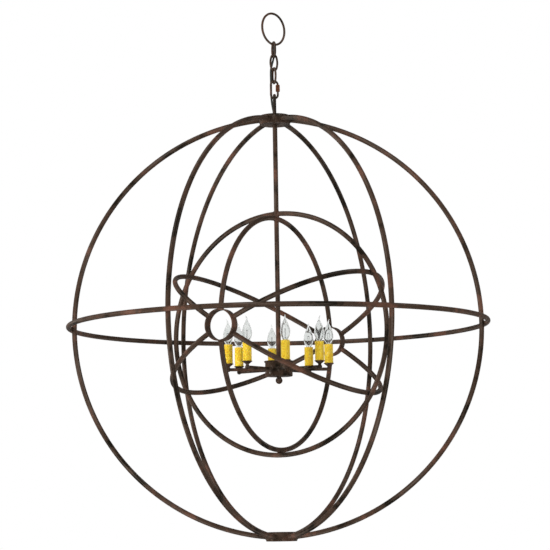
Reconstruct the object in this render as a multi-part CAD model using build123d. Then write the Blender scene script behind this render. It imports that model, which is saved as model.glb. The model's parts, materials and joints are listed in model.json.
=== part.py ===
from build123d import *
import math
import os

# Open orb chandelier: an outer orb of six ribs and an equator hoop, an inner orb whose arcs meet on
# two open node bands, and a cluster of eight candle lights, hung on a short chain from a ring.
# Millimetres, +Z up, +X to the right of the front view, +Y to the back.
# The origin is the inside top of the hanging ring, where a ceiling hook bears.

# Fits
LINK_GAP = 0.3          # play between two chain pieces where one hangs on the other
WELD_GAP = 0.2          # root gap left where two round bars cross and are welded
ARM_FIT = 0.1           # play round an arm in the wall of the cluster body
BORE_FIT = 0.2          # radial play of nipples, stem and cord bushing in their holes
LAMP_FIT = 0.3          # radial play of a lamp cap in its holder

# Hanging ring, chain links and the screw connector under them
RING_OD = 99.0
RING_WIRE = 6.6
RING_YAW = 45.0
LINK_LENGTH = 51.5
LINK_WIDTH = 27.0
LINK_WIRE = 6.2
LINK_END_R = 8.0            # centreline radius of a link's two round ends
LINK_YAWS = (115.0, 17.0, 115.0)
CONNECTOR_LENGTH = 57.4
CONNECTOR_WIDTH = 27.0
CONNECTOR_WIRE = 6.0
CONNECTOR_YAW = 15.0
CONNECTOR_MOUTH = 7.0       # opening in the leg that the collar closes
MOUTH_RAISE = 8.5           # middle of that opening above the connector's middle
COLLAR_FLATS = 11.0
COLLAR_LENGTH = 20.0
COLLAR_RAISE = 4.5          # collar middle above the connector's middle
COLLAR_CHAMFER = 1.2
COLLAR_FIT = 0.3

# Top loop on the orb
LOOP_WIRE = 9.5
LOOP_WIDTH = 36.0
LOOP_HEIGHT = 65.5
LOOP_YAW = 90.0

# Outer orb: every hoop is rolled from the same round bar
ROD = 14.3
EQUATOR_OD = 1219.2
RIB_R = 606.5               # centreline radius of a rib, a little larger than the equator's
RIB_COUNT = 6
HUB_OD = 88.9
HUB_HEIGHT = 26.0
HUB_WALL = 4.0
HUB_DISC = 4.0
HUB_EDGE = 0.8

# Supply cord and the bushing where it enters the top hub
CORD_D = 6.0
CORD_HOLE_X = -2.5
BUSHING_WALL = 1.3
BUSHING_FLANGE = 1.6
BUSHING_RISE = 2.0
CORD_PLAY = 0.35
CORD_EASE = 0.45            # share of the shorter run beside a bend that the bend takes up
CORD_FOOT_DROP = 1.0        # first bend of the cord below the upper face of the hub's plate
CORD_TURN_DROP = 9.0        # cord stands under its hole this far below the hub's top
CORD_RISE = (               # the cord above the hub: right, back, height
    (-2.6, 0.0, 10.0),
    (-6.6, 2.4, 31.0),
    (-9.4, 5.0, 57.0),
    (-9.2, 4.6, 101.0),
    (-9.9, 3.9, 139.0),
    (-4.0, 8.6, 161.0),
    (2.4, 14.4, 187.0),
    (1.8, 15.2, 217.0),
)

# Stem and inner orb
STEM_OD = 13.7
STEM_BORE = 9.7
STEM_INSET = 2.0            # stem end below the upper face of the hub's plate
STEM_WINDOW_WIDTH = 7.0
STEM_WINDOW_HEIGHT = 14.0
INNER_R = 349.25            # centreline radius of the outermost inner hoop
INNER_DROP = 22.5           # inner orb centre below the outer orb centre
INNER_HOOP_YAW = -30.0
BAND_YAW = 61.3             # direction of the axis through both node bands
RISING_SLANT = 33.0
FALLING_SLANT = 28.0
BAND_OD = 88.9
BAND_WALL = 3.4
BAND_WIDTH = 27.0
STEM_SLIT = 3.5             # half of the slot that the stem fills in a cut hoop
STEM_CUT = 100.0            # length of the saddle cut that fits an arc to the stem

# Light cluster
CLUSTER_DROP = 126.0        # arm axes below the outer orb centre
BODY_OD = 79.0
BODY_HEIGHT = 41.0
BODY_WALL = 2.5
BODY_FLOOR = 3.0
BODY_RADIUS = 3.0
COVER_OD = 85.0
COVER_THICK = 4.0
COVER_EDGE = 1.6
COVER_SPIGOT = 3.0
FINIAL_D = 20.0
FINIAL_NECK_D = 13.0
FINIAL_NECK_H = 1.5
LIGHT_COUNT = 8
LIGHT_CIRCLE_R = 146.0
FIRST_LIGHT = 7.0           # degrees from the front towards the right
ARM_OD = 9.5
ARM_BORE = 6.4
ARM_INSIDE = 4.0            # arm length that stands inside the body's wall
BALL_D = 13.6
NIPPLE_D = 7.0
NIPPLE_BORE = 4.5
NIPPLE_SEAT = 2.0           # nipple's lower end above the arm axis
NIPPLE_GRIP = 6.0           # nipple length inside the lamp holder
NECK_FOOT = 4.6
NECK_TOP = 11.0             # top of the spool neck above the arm axis
NECK_FOOT_R = 5.0
NECK_WAIST_R = 4.4
NECK_TOP_R = 8.0
CUP_R = 15.2
CUP_FLOOR_R = 11.5          # flat underside of the cup
CUP_HEIGHT = 6.0
CUP_WALL = 1.4
SLEEVE_OD = 25.4
SLEEVE_WALL = 2.0
SLEEVE_HEIGHT = 60.0
SLEEVE_LIP = 2.5
SLEEVE_MOUTH_D = 16.5
HOLDER_OD = 18.4
HOLDER_WEB = 25.0           # solid middle of the lamp holder
HOLDER_SHELL = 21.0         # depth of the screw shell
CAP_D = 12.0
CAP_HEIGHT = 18.0
CAP_TIP_D = 6.0
CAP_TIP = 2.0
GLASS_R = 14.2
GLASS_NECK_R = 5.7
GLASS_HEIGHT = 70.0
GLASS_NECK_H = 7.0
GLASS_SWELL_H = 31.5        # height of the widest place
GLASS_SHOULDER_R = 8.8
GLASS_SHOULDER_H = 53.2
GLASS_WALL = 0.9
TIP_R = 2.6
TIP_RISE = 11.0
TIP_BEND = 4.0
TIP_MID_R = 1.8
TIP_MID_LEAN = 20.0
TIP_END_R = 0.8
TIP_END_LEAN = 40.0
PILLAR_H = 16.0
PILLAR_R = 2.6
SUPPORT_D = 0.8
SUPPORT_H = 24.0
FILAMENT_SPREAD = 7.0
LEAD_D = 2.4
LEAD_BEND = 2.4
LEAD_END_R = 27.0
WIRE_NUT_D = 10.0
WIRE_NUT_H = 17.0
WIRE_NUT_TIP_D = 6.0
WIRE_NUT_CIRCLE_R = 18.0
WIRE_NUT_COUNT = 2
WIRE_NUT_YAW = 90.0

# Heights along the hanging axis, from the ring down
ring_r = (RING_OD - RING_WIRE) / 2
ring_inner_r = ring_r - RING_WIRE / 2
link_inside = LINK_LENGTH - 2 * LINK_WIRE
connector_inside = CONNECTOR_LENGTH - 2 * CONNECTOR_WIRE
link_tops = []
hang_z = -2 * ring_inner_r
for _ in LINK_YAWS:
    link_tops.append(hang_z + LINK_GAP)
    hang_z = link_tops[-1] - link_inside
connector_top = hang_z + LINK_GAP
connector_z = connector_top - connector_inside / 2
loop_inner_top = connector_top - connector_inside + LINK_GAP
hub_top = loop_inner_top + LOOP_WIRE - LOOP_HEIGHT
hub_r = HUB_OD / 2
hoop_r = (EQUATOR_OD - ROD) / 2
rib_offset = RIB_R - (hoop_r - ROD - WELD_GAP)
rib_end_rise = math.sqrt(RIB_R**2 - (hub_r + rib_offset) ** 2)
orb_z = hub_top - HUB_HEIGHT / 2 - rib_end_rise
inner_z = orb_z - INNER_DROP
nested_r = INNER_R - ROD - WELD_GAP
band_r = BAND_OD / 2
band_reach = math.sqrt(nested_r**2 - band_r**2)
arm_z = orb_z - CLUSTER_DROP
body_floor_z = arm_z - BODY_HEIGHT / 2
body_rim_z = arm_z + BODY_HEIGHT / 2
cup_floor = NECK_TOP + CUP_WALL
holder_seat = cup_floor
nipple_top = cup_floor + NIPPLE_GRIP
web_low = nipple_top + LAMP_FIT
web_top = web_low + HOLDER_WEB
cap_low = web_top + CAP_TIP
glass_low = cap_low + CAP_HEIGHT

parts = {}


def bar_arc(radius, wire, sweep_angle):
    """Round bar bent about Z at that centreline radius, from +X, with its centre at the origin."""
    return Torus(radius, wire / 2, major_angle=sweep_angle, align=None)


def ring_arc(centre_z, along, across, radius, wire, start, sweep_angle):
    """Part of a round-bar hoop in the plane of along and across, from the start angle."""
    normal = Vector(*along).cross(Vector(*across))
    plane = Plane(origin=(0, 0, centre_z), x_dir=along, z_dir=normal)
    return plane * Rot(0, 0, start) * bar_arc(radius, wire, sweep_angle)


def heading(yaw):
    """Unit vector in the ground plane at that yaw from +X."""
    return (math.cos(math.radians(yaw)), math.sin(math.radians(yaw)), 0.0)


def oval(length, width, wire):
    """A closed link in the XZ plane with half-round ends and straight legs, middle at the origin."""
    bend_r = (width - wire) / 2
    straight = length - width
    link = Pos(0, 0, straight / 2) * Rot(90, 0, 0) * bar_arc(bend_r, wire, 180)
    link += Pos(0, 0, -straight / 2) * Rot(-90, 0, 0) * bar_arc(bend_r, wire, 180)
    for side in (-1, 1):
        link += Pos(side * bend_r, 0, 0) * Cylinder(wire / 2, straight)
    return link


def bowed_link(length, width, wire, end_r):
    """A closed link in the XZ plane with round ends and bowed legs, middle at the origin."""
    rise = (length - wire) / 2 - end_r
    half = (width - wire) / 2
    leg_r = (rise**2 / (half - end_r) + half + end_r) / 2
    leg_turn = math.degrees(math.atan2(rise, leg_r - half))
    end = Rot(90, 0, 0) * Rot(0, 0, leg_turn) * bar_arc(end_r, wire, 180 - 2 * leg_turn)
    leg = Rot(90, 0, 0) * Rot(0, 0, -leg_turn) * bar_arc(leg_r, wire, 2 * leg_turn)
    side = Pos(0, 0, rise) * end + Pos(half - leg_r, 0, 0) * leg
    return side + Rot(0, 180, 0) * side


def turned(points):
    """A solid of revolution about Z from straight profile points (radius, height)."""
    outline = Polyline(*[(r, 0, z) for r, z in points], close=True)
    return revolve(make_face(outline), Axis.Z)


def tube(outer_d, bore_d, low, high):
    """An upright tube between two heights."""
    middle = (low + high) / 2
    return Pos(0, 0, middle) * (Cylinder(outer_d / 2, high - low) - Cylinder(bore_d / 2, high - low))


def hanging_gear():
    """Hanging ring, three chain links, the screw connector and its collar."""
    parts["hanging_ring"] = Pos(0, 0, -ring_inner_r) * Rot(0, 0, RING_YAW) * Rot(90, 0, 0) * Torus(
        ring_r, RING_WIRE / 2
    )
    for number, (top, yaw) in enumerate(zip(link_tops, LINK_YAWS), 1):
        link = bowed_link(LINK_LENGTH, LINK_WIDTH, LINK_WIRE, LINK_END_R)
        parts[f"chain_link_{number}"] = Pos(0, 0, top - link_inside / 2) * Rot(0, 0, yaw) * link
    leg_x = (CONNECTOR_WIDTH - CONNECTOR_WIRE) / 2
    mouth = Pos(leg_x, 0, MOUTH_RAISE) * Box(2 * CONNECTOR_WIRE, 2 * CONNECTOR_WIRE, CONNECTOR_MOUTH)
    place = Pos(0, 0, connector_z) * Rot(0, 0, CONNECTOR_YAW)
    parts["connector_link"] = place * (oval(CONNECTOR_LENGTH, CONNECTOR_WIDTH, CONNECTOR_WIRE) - mouth)
    hexagon = RegularPolygon(COLLAR_FLATS / 2, 6, major_radius=False)
    bore = Circle(CONNECTOR_WIRE / 2 + COLLAR_FIT)
    collar = Pos(0, 0, -COLLAR_LENGTH / 2) * extrude(hexagon - bore, COLLAR_LENGTH)
    corner_r = COLLAR_FLATS / math.sqrt(3)
    blank = Cylinder(corner_r, COLLAR_LENGTH)
    collar &= chamfer(blank.edges().filter_by(GeomType.CIRCLE), COLLAR_CHAMFER)
    parts["connector_collar"] = place * Pos(leg_x, 0, COLLAR_RAISE) * collar


def top_loop():
    """Upright loop of round bar, both feet on the top hub."""
    bend_r = (LOOP_WIDTH - LOOP_WIRE) / 2
    leg = LOOP_HEIGHT - LOOP_WIDTH / 2
    loop = Pos(0, 0, leg) * Rot(90, 0, 0) * bar_arc(bend_r, LOOP_WIRE, 180)
    for side in (-1, 1):
        loop += Pos(side * bend_r, 0, leg / 2) * Cylinder(LOOP_WIRE / 2, leg)
    parts["top_loop"] = Pos(0, 0, hub_top) * Rot(0, 0, LOOP_YAW) * loop


def hub_drum():
    """Cup of the hub: a wall closed by a disc at the top, middle at the origin."""
    drum = Cylinder(hub_r, HUB_HEIGHT)
    drum = chamfer(drum.edges().filter_by(GeomType.CIRCLE), HUB_EDGE)
    inside = HUB_HEIGHT - HUB_DISC
    return drum - Pos(0, 0, -HUB_DISC / 2) * Cylinder(hub_r - HUB_WALL, inside)


def hubs():
    """Both hub drums, the plate let into the open end of each, and the cord bushing."""
    bushing_r = CORD_D / 2 + CORD_PLAY + BUSHING_WALL
    plate_r = hub_r - HUB_WALL
    top_middle = hub_top - HUB_HEIGHT / 2
    cord_hole = Pos(CORD_HOLE_X, 0, 0) * Cylinder(bushing_r, 2 * HUB_HEIGHT)
    parts["top_hub"] = Pos(0, 0, top_middle) * (hub_drum() - cord_hole)
    plate = Cylinder(plate_r, HUB_DISC)
    low_plate_z = hub_top - HUB_HEIGHT + HUB_DISC / 2
    parts["top_hub_plate"] = Pos(0, 0, low_plate_z) * (plate - Cylinder(STEM_OD / 2, HUB_DISC))
    bottom_middle = orb_z - rib_end_rise
    parts["bottom_hub"] = Pos(0, 0, bottom_middle) * Rot(180, 0, 0) * hub_drum()
    parts["bottom_hub_plate"] = Pos(0, 0, bottom_middle + (HUB_HEIGHT - HUB_DISC) / 2) * plate
    bore_r = CORD_D / 2 + CORD_PLAY
    sleeve = tube(2 * bushing_r, 2 * bore_r, -HUB_DISC, BUSHING_RISE)
    flange = tube(2 * (bushing_r + BUSHING_FLANGE), 2 * bore_r, 0, BUSHING_RISE)
    parts["cord_bushing"] = Pos(CORD_HOLE_X, 0, hub_top) * (sleeve + flange)


def outer_orb():
    """Six ribs saddle-cut onto the hub walls, and the equator hoop lying outside them."""
    hub_blank = Pos(0, 0, orb_z) * Cylinder(hub_r, 2 * RIB_R + HUB_HEIGHT)
    end_angle = math.degrees(math.acos((rib_offset + hub_r / 2) / RIB_R))
    for number in range(RIB_COUNT):
        yaw = 360 / RIB_COUNT * number
        arc = ring_arc(orb_z, (1, 0, 0), (0, 0, 1), RIB_R, ROD, -end_angle, 2 * end_angle)
        rib = Rot(0, 0, yaw) * Pos(-rib_offset, 0, 0) * arc
        parts[f"rib_{number + 1}"] = rib - hub_blank
    parts["equator_hoop"] = Pos(0, 0, orb_z) * Torus(hoop_r, ROD / 2)


def stem():
    """Stem tube from the top hub's plate to the floor of the cluster body, with its wire window."""
    high = hub_top - HUB_HEIGHT + HUB_DISC - STEM_INSET
    low = body_floor_z + BODY_FLOOR
    window = Pos(STEM_OD / 2, 0, arm_z) * Box(STEM_OD, STEM_WINDOW_WIDTH, STEM_WINDOW_HEIGHT)
    parts["stem"] = tube(STEM_OD, STEM_BORE, low, high) - window


def inner_orb():
    """The large upright hoop, both node bands and the seven arcs that are cut onto them."""
    up = (0.0, 0.0, 1.0)
    along = heading(BAND_YAW)
    level = heading(BAND_YAW + 90)
    stem_blank = Pos(0, 0, inner_z + INNER_R) * Cylinder(STEM_OD / 2, STEM_CUT)
    slit = math.degrees(math.asin(STEM_SLIT / INNER_R))
    hoop = ring_arc(inner_z, heading(INNER_HOOP_YAW), up, INNER_R, ROD, 90 + slit, 360 - 2 * slit)
    parts["inner_hoop"] = hoop - stem_blank
    lying = Rot(0, 90, 0) * Cylinder(band_r, 2 * (INNER_R + ROD))
    blank = Rot(0, 0, BAND_YAW) * Pos(0, 0, inner_z) * lying
    for name, side in (("front", -1), ("back", 1)):
        pipe = Cylinder(band_r, BAND_WIDTH) - Cylinder(band_r - BAND_WALL, BAND_WIDTH)
        place = Rot(0, 0, BAND_YAW) * Pos(side * band_reach, 0, inner_z) * Rot(0, 90, 0)
        parts[f"node_band_{name}"] = place * pipe
    tuck = math.degrees(math.asin(band_r / 2 / nested_r))
    half = 180 - 2 * tuck
    nested_slit = math.degrees(math.asin(STEM_SLIT / nested_r))
    quarter = 90 - tuck - nested_slit
    upper_back = ring_arc(inner_z, along, up, nested_r, ROD, tuck, quarter)
    parts["upper_arc_back"] = upper_back - blank - stem_blank
    upper_front = ring_arc(inner_z, along, up, nested_r, ROD, 90 + nested_slit, quarter)
    parts["upper_arc_front"] = upper_front - blank - stem_blank
    parts["lower_arc"] = ring_arc(inner_z, along, up, nested_r, ROD, 180 + tuck, half) - blank
    for name, tilt in (("rising", RISING_SLANT), ("falling", -FALLING_SLANT)):
        c, s = math.cos(math.radians(tilt)), math.sin(math.radians(tilt))
        across = (level[0] * c, level[1] * c, s)
        for side, start in (("left", tuck), ("right", 180 + tuck)):
            arc = ring_arc(inner_z, along, across, nested_r, ROD, start, half)
            parts[f"slant_arc_{name}_{side}"] = arc - blank


def light_places():
    """Angle of each light about Z; the arm of a light runs along that heading."""
    return [FIRST_LIGHT - 90 + 360 / LIGHT_COUNT * number for number in range(LIGHT_COUNT)]


def around(shape):
    """One copy of a shape at each light."""
    return [Rot(0, 0, yaw) * Pos(LIGHT_CIRCLE_R, 0, arm_z) * shape for yaw in light_places()]


def cluster_body():
    """Round pan with the arm holes, its lipped cover and the finial; gives the finial's nipple."""
    body = Cylinder(BODY_OD / 2, BODY_HEIGHT)
    rim = body.edges().filter_by(GeomType.CIRCLE).sort_by(Axis.Z)[0]
    body = fillet(rim, BODY_RADIUS)
    hollow_h = BODY_HEIGHT - BODY_FLOOR
    body -= Pos(0, 0, BODY_FLOOR / 2) * Cylinder(BODY_OD / 2 - BODY_WALL, hollow_h)
    body -= Cylinder(STEM_BORE / 2, 2 * BODY_HEIGHT)
    for yaw in light_places():
        reach = Pos(BODY_OD / 2, 0, 0) * Rot(0, 90, 0) * Cylinder(ARM_OD / 2 + ARM_FIT, 4 * BODY_WALL)
        body -= Rot(0, 0, yaw) * reach
    parts["cluster_body"] = Pos(0, 0, arm_z) * body
    lip = Cylinder(COVER_OD / 2, COVER_THICK)
    lip = fillet(lip.edges().filter_by(GeomType.CIRCLE), COVER_EDGE)
    spigot_r = BODY_OD / 2 - BODY_WALL - BORE_FIT
    cover = Pos(0, 0, COVER_THICK / 2) * lip + Pos(0, 0, -COVER_SPIGOT / 2) * Cylinder(spigot_r, COVER_SPIGOT)
    cover -= Cylinder(spigot_r - BODY_WALL, 2 * COVER_SPIGOT).moved(Pos(0, 0, -COVER_SPIGOT))
    cover -= Cylinder(STEM_OD / 2 + BORE_FIT, 4 * COVER_THICK)
    parts["cluster_cover"] = Pos(0, 0, body_rim_z) * cover
    thread_r = STEM_BORE / 2 - BORE_FIT
    ball_z = -FINIAL_NECK_H - FINIAL_D / 2
    finial = Pos(0, 0, ball_z) * Sphere(FINIAL_D / 2)
    finial += Pos(0, 0, ball_z / 2) * Cylinder(FINIAL_NECK_D / 2, -ball_z)
    finial -= Pos(0, 0, ball_z / 2) * Cylinder(thread_r, -ball_z)
    parts["finial"] = Pos(0, 0, body_floor_z) * finial
    nipple_high = BODY_FLOOR + STEM_OD
    return Pos(0, 0, body_floor_z + (nipple_high + ball_z) / 2) * Cylinder(thread_r, nipple_high - ball_z)


def arms():
    """Straight tube arms, each ending in a ball that is drilled for the candle nipple."""
    inner_end = BODY_OD / 2 - BODY_WALL - ARM_INSIDE - LIGHT_CIRCLE_R
    ball = Sphere(BALL_D / 2)
    bar = Pos(inner_end / 2, 0, 0) * Rot(0, 90, 0) * Cylinder(ARM_OD / 2, -inner_end)
    channel = Pos(inner_end / 2, 0, 0) * Rot(0, 90, 0) * Cylinder(ARM_BORE / 2, -inner_end)
    arm = ball + bar - channel - Sphere(ARM_BORE / 2)
    arm -= Pos(0, 0, NIPPLE_SEAT + BALL_D / 2) * Cylinder(NIPPLE_D / 2, BALL_D)
    arm -= Pos(0, 0, BALL_D / 4) * Cylinder(NIPPLE_BORE / 2, BALL_D / 2)
    for number, placed in enumerate(around(arm), 1):
        parts[f"arm_{number}"] = placed


def candle_stand():
    """Spool neck, cup, nipple and lead that repeat under every candle."""
    bore_r = NIPPLE_D / 2 + BORE_FIT
    waist = (NECK_FOOT + NECK_TOP) / 2
    neck_side = Spline(
        (NECK_FOOT_R, 0, NECK_FOOT), (NECK_WAIST_R, 0, waist), (NECK_TOP_R, 0, NECK_TOP)
    )
    neck_rest = Polyline(
        (NECK_TOP_R, 0, NECK_TOP), (bore_r, 0, NECK_TOP), (bore_r, 0, NECK_FOOT), (NECK_FOOT_R, 0, NECK_FOOT)
    )
    neck = revolve(make_face([*neck_side.edges(), *neck_rest.edges()]), Axis.Z) - Sphere(BALL_D / 2)
    rim_z = NECK_TOP + CUP_HEIGHT
    floor_in = SLEEVE_OD / 2 + BORE_FIT
    cup = turned(
        [
            (bore_r, NECK_TOP),
            (CUP_FLOOR_R, NECK_TOP),
            (floor_in + CUP_WALL, cup_floor),
            (CUP_R, rim_z),
            (CUP_R - CUP_WALL, rim_z),
            (floor_in, cup_floor),
            (bore_r, cup_floor),
        ]
    )
    nipple = tube(NIPPLE_D, NIPPLE_BORE, NIPPLE_SEAT, nipple_top)
    route = FilletPolyline(
        (LEAD_END_R - LIGHT_CIRCLE_R, 0, 0), (0, 0, 0), (0, 0, web_low), radius=LEAD_BEND
    )
    lead = sweep(Plane(route @ 0, z_dir=route % 0) * Circle(LEAD_D / 2), path=route)
    return neck, cup, nipple, lead


def candle_sleeve():
    """Resin candle sleeve, open below, with a lip round the lamp at the top."""
    high = cup_floor + SLEEVE_HEIGHT
    inner_d = SLEEVE_OD - 2 * SLEEVE_WALL
    sleeve = tube(SLEEVE_OD, inner_d, cup_floor, high - SLEEVE_LIP)
    return sleeve + tube(SLEEVE_OD, SLEEVE_MOUTH_D, high - SLEEVE_LIP, high)


def lamp():
    """Lamp holder, screw cap, blown glass with its bent tip, and the filament on its pillar."""
    shell_r = CAP_D / 2 + LAMP_FIT
    holder_high = web_top + HOLDER_SHELL
    holder = tube(HOLDER_OD, NIPPLE_D + 2 * BORE_FIT, holder_seat, web_low)
    holder += Pos(0, 0, (web_low + web_top) / 2) * Cylinder(HOLDER_OD / 2, HOLDER_WEB)
    holder += tube(HOLDER_OD, 2 * shell_r, web_top, holder_high)
    cap = Pos(0, 0, web_top + CAP_TIP / 2) * Cylinder(CAP_TIP_D / 2, CAP_TIP)
    cap += Pos(0, 0, cap_low + CAP_HEIGHT / 2) * Cylinder(CAP_D / 2, CAP_HEIGHT)

    def blown(wall):
        """Glass profile moved in by a wall: neck, swell and shoulder, up to the tip."""
        return [
            (GLASS_NECK_R - wall, 0),
            (GLASS_NECK_R - wall, GLASS_NECK_H),
            (GLASS_R - wall, GLASS_SWELL_H),
            (GLASS_SHOULDER_R - wall, GLASS_SHOULDER_H),
            (TIP_R - wall, GLASS_HEIGHT),
        ]

    def swell(wall):
        """Solid of revolution under that profile."""
        points = [(r, 0, glass_low + h) for r, h in blown(wall)]
        side = Spline(*points)
        rest = Polyline(points[-1], (0, 0, points[-1][2]), (0, 0, points[0][2]), points[0])
        return revolve(make_face([*side.edges(), *rest.edges()]), Axis.Z)

    def leaning(x, z, angle):
        """Plane at (x, 0, z) whose normal leans outward from upright by that angle."""
        lean = math.radians(angle)
        return Plane((x, 0, z), z_dir=(math.sin(lean), 0, math.cos(lean)))

    shoulder_z = glass_low + GLASS_HEIGHT
    tip_low = Plane((0, 0, shoulder_z)) * Circle(TIP_R)
    tip_mid = leaning(TIP_BEND / 4, shoulder_z + TIP_RISE / 2, TIP_MID_LEAN) * Circle(TIP_MID_R)
    tip_high = leaning(TIP_BEND, shoulder_z + TIP_RISE, TIP_END_LEAN) * Circle(TIP_END_R)
    tip = loft([tip_low, tip_mid, tip_high])
    glass = swell(0) + tip - swell(GLASS_WALL)
    pillar = Pos(0, 0, glass_low + PILLAR_H / 2) * Cone(PILLAR_R, PILLAR_R / 2, PILLAR_H)
    support_low = glass_low + PILLAR_H - PILLAR_R
    for side in (-1, 1):
        foot = (side * PILLAR_R / 3, 0, support_low)
        head = (side * FILAMENT_SPREAD / 2, 0, support_low + SUPPORT_H)
        wire = Line(foot, head)
        pillar += sweep(Plane(foot, z_dir=wire % 0) * Circle(SUPPORT_D / 2), path=wire)
    arch = bar_arc(FILAMENT_SPREAD / 2, SUPPORT_D, 180)
    pillar += Pos(0, 0, support_low + SUPPORT_H) * Rot(90, 0, 0) * arch
    return holder, cap, glass, pillar


def light_cluster():
    """Body, arms and everything that stands on them."""
    cluster_nipple = cluster_body()
    arms()
    neck, cup, nipple, lead = candle_stand()
    for number, placed in enumerate(around(candle_sleeve()), 1):
        parts[f"candle_sleeve_{number}"] = placed
    holder, cap, glass, filament = lamp()
    parts["candle_necks"] = Compound(children=around(neck))
    parts["candle_cups"] = Compound(children=around(cup))
    parts["threaded_nipples"] = Compound(children=[*around(nipple), cluster_nipple])
    parts["lamp_leads"] = Compound(children=around(lead))
    parts["lamp_holders"] = Compound(children=around(holder))
    parts["lamp_caps"] = Compound(children=around(cap))
    parts["lamp_glasses"] = Compound(children=around(glass))
    parts["lamp_filaments"] = Compound(children=around(filament))
    wire_nuts = []
    for number in range(WIRE_NUT_COUNT):
        yaw = WIRE_NUT_YAW + 360 / WIRE_NUT_COUNT * number
        nut = Cone(WIRE_NUT_D / 2, WIRE_NUT_TIP_D / 2, WIRE_NUT_H)
        stand_z = body_floor_z + BODY_FLOOR + WIRE_NUT_H / 2
        wire_nuts.append(Rot(0, 0, yaw) * Pos(WIRE_NUT_CIRCLE_R, 0, stand_z) * nut)
    parts["wire_nuts"] = Compound(children=wire_nuts)


def supply_cord():
    """Round cord from the cluster up the stem, out of the bushing and up beside the chain."""
    plate_top = HUB_DISC - HUB_HEIGHT
    route = [(0, 0, arm_z - hub_top), (0, 0, plate_top - CORD_FOOT_DROP), (CORD_HOLE_X, 0, -CORD_TURN_DROP)]
    route.extend(CORD_RISE)
    points = [Vector(x, y, hub_top + z) for x, y, z in route]
    radii = []
    for before, here, after in zip(points, points[1:], points[2:]):
        turn = math.radians((here - before).get_angle(after - here))
        shorter = min((here - before).length, (after - here).length)
        radii.append(CORD_EASE * shorter / math.tan(turn / 2))
    path = FilletPolyline(*points, radius=radii)
    parts["supply_cord"] = sweep(Plane(path @ 0, z_dir=path % 0) * Circle(CORD_D / 2), path=path)


hanging_gear()
top_loop()
hubs()
outer_orb()
stem()
inner_orb()
light_cluster()
supply_cord()

os.makedirs("parts", exist_ok=True)
for name, shape in parts.items():
    export_step(shape, f"parts/{name}.step")
print(len(parts), "nodes")
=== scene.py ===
import json
import math

import bmesh
import bpy
from mathutils import Matrix, Vector


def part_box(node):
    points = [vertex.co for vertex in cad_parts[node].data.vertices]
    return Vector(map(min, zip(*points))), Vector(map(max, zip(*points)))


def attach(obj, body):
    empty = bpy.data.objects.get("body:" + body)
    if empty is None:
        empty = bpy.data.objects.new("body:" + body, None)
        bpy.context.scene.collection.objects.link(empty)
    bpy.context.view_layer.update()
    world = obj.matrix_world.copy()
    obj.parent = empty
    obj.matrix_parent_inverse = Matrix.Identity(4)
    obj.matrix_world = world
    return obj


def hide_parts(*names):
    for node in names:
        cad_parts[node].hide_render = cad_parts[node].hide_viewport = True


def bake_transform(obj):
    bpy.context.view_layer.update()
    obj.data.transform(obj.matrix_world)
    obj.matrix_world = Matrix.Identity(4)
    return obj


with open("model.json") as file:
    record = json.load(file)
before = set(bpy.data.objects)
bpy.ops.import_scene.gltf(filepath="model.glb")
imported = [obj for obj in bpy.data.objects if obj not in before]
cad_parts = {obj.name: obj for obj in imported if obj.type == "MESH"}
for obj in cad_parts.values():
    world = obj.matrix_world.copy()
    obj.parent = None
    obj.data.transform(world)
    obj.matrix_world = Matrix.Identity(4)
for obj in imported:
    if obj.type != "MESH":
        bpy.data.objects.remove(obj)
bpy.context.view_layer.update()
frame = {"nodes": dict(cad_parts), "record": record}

# Hanging ring
# A plain ring of round iron wire, bent and butt-welded, that a ceiling hook carries.
# It has the brown rust finish of all the ironwork: dark skin, redder patches, worn grey streaks.
RING_WIRE = 0.0066
RING_YAW = 45.0
RING_STEPS = 144
WIRE_SIDES = 16
BAR_SIDES = 20
BAR_UNEVENNESS = 0.0003
BAR_LUMPS = 75.0
BAR_STREAKS = (6.0, 200.0, 200.0)
IRON_STREAKS = (70.0, 70.0, 70.0)
RUST_SKIN = (0.063, 0.0395, 0.0275, 1)
RUST_SHADE = (0.012, 0.0092, 0.006, 1)
RUST_RED = (0.145, 0.069, 0.046, 1)
RUST_WORN = (0.205, 0.164, 0.138, 1)
RUST_PATCHES = 9.0
RUST_DENTS = 110.0
RUST_GRIT = 620.0
RUST_SHEEN = 0.04
GRIT_SHADE = (0.62, 0.62, 0.62, 1)
WHITE = (1, 1, 1, 1)
UP = Vector((0, 0, 1))
# A Mix node's colour sockets go by number, because it has sockets of the same name for other data.
MIX_FIRST = 6
MIX_SECOND = 7
MIX_COLOUR = 2


def add(tree, kind, **settings):
    """One node in a tree, with its settings."""
    made = tree.nodes.new(kind)
    for key, value in settings.items():
        setattr(made, key, value)
    return made


def noise(tree, coords, scale, detail, rough=0.5):
    """Noise texture on those coordinates; gives its value."""
    made = add(tree, "ShaderNodeTexNoise")
    made.inputs["Scale"].default_value = scale
    made.inputs["Detail"].default_value = detail
    made.inputs["Roughness"].default_value = rough
    tree.links.new(coords, made.inputs["Vector"])
    return made.outputs["Fac"]


def ramp(tree, value, stops):
    """Colour ramp through (position, colour) stops."""
    made = add(tree, "ShaderNodeValToRGB")
    points = made.color_ramp.elements
    while len(points) < len(stops):
        points.new(0.5)
    for point, (position, colour) in zip(points, stops):
        point.position = position
        point.color = colour
    tree.links.new(value, made.inputs["Fac"])
    return made.outputs["Color"]


def span(tree, value, low, high, new_low, new_high):
    """Value mapped from one range to another, clamped."""
    made = add(tree, "ShaderNodeMapRange")
    limits = {"From Min": low, "From Max": high, "To Min": new_low, "To Max": new_high}
    for name, number in limits.items():
        made.inputs[name].default_value = number
    tree.links.new(value, made.inputs["Value"])
    return made.outputs["Result"]


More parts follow.
